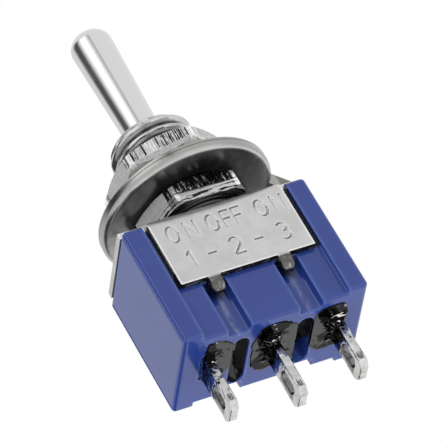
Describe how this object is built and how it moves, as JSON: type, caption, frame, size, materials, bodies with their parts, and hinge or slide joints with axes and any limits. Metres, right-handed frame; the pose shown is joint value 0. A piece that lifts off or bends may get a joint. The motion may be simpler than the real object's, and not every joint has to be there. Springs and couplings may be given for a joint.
{
  "type": "miniature toggle switch",
  "caption": "Miniature bat-lever toggle switch: blue moulded case, folded steel housing, threaded bushing with nuts and washers, and soldering lugs.",
  "frame": {"origin": "on the bushing's axis, at the panel seat: the upper face of the keyed washer", "axes": "+Z along the bushing towards the lever's tip; X along the row of lugs, which is also the way the lever swings, with the washer's ear at +X; -Y towards the marked flap"},
  "size_m": [0.0139, 0.0124, 0.0336],
  "materials": {
    "blue_plastic": "satin moulded blue plastic",
    "housing_steel": "satin nickel-plated stamped steel",
    "bushing_nickel": "nickel-plated turned brass, machined thread",
    "lever_chrome": "polished plating",
    "nut_nickel": "nickel-plated, coarse machining marks on the flats",
    "washer_nickel": "smooth bright plating",
    "lug_silver": "silver plated",
    "contact_silver": "silver contact faces",
    "rocker_brass": "plain brass strip",
    "plunger_plastic": "natural moulded plastic",
    "spring_steel": "drawn spring wire",
    "resin_black": "glossy cast resin"
  },
  "bodies": {
    "switch_body": {"case": "blue_plastic", "housing": "housing_steel", "bushing": "bushing_nickel", "terminal_left": "lug_silver", "terminal_centre": "lug_silver", "terminal_right": "lug_silver", "fixed_contact_left": "contact_silver", "fixed_contact_right": "contact_silver", "seal_left": "resin_black", "seal_centre": "resin_black", "seal_right": "resin_black", "lower_nut": "nut_nickel", "keyed_washer": "washer_nickel", "tooth_washer": "washer_nickel", "upper_nut": "nut_nickel"},
    "toggle": {"lever": "lever_chrome", "pivot_pin": "spring_steel", "plunger_spring": "spring_steel"},
    "plunger": {"plunger": "plunger_plastic"},
    "bridge": {"rocker": "rocker_brass", "moving_contact_left": "contact_silver", "moving_contact_right": "contact_silver"}
  },
  "joints": [
    {"name": "lever_tilt", "type": "hinge", "parent": "switch_body", "child": "toggle", "pos_m": [0, 0, 0.00295], "axis": [0, 1, 0], "range_deg": [-12.5, 12.5]},
    {"name": "plunger_slide", "type": "slide", "parent": "toggle", "child": "plunger", "axis": [0, 0, 1], "range_m": [0, 0.00045], "stiffness_N_per_m": 60, "springref_m": -0.0004, "deforming": ["plunger_spring"]},
    {"name": "rocker_tilt", "type": "hinge", "parent": "switch_body", "child": "bridge", "pos_m": [0, 0, -0.00865], "axis": [0, 1, 0], "range_deg": [-7.5, 7.5]}
  ],
  "couplings": [
    {"joint": "rocker_tilt", "follows": "lever_tilt", "ratio": -0.6}
  ]
}
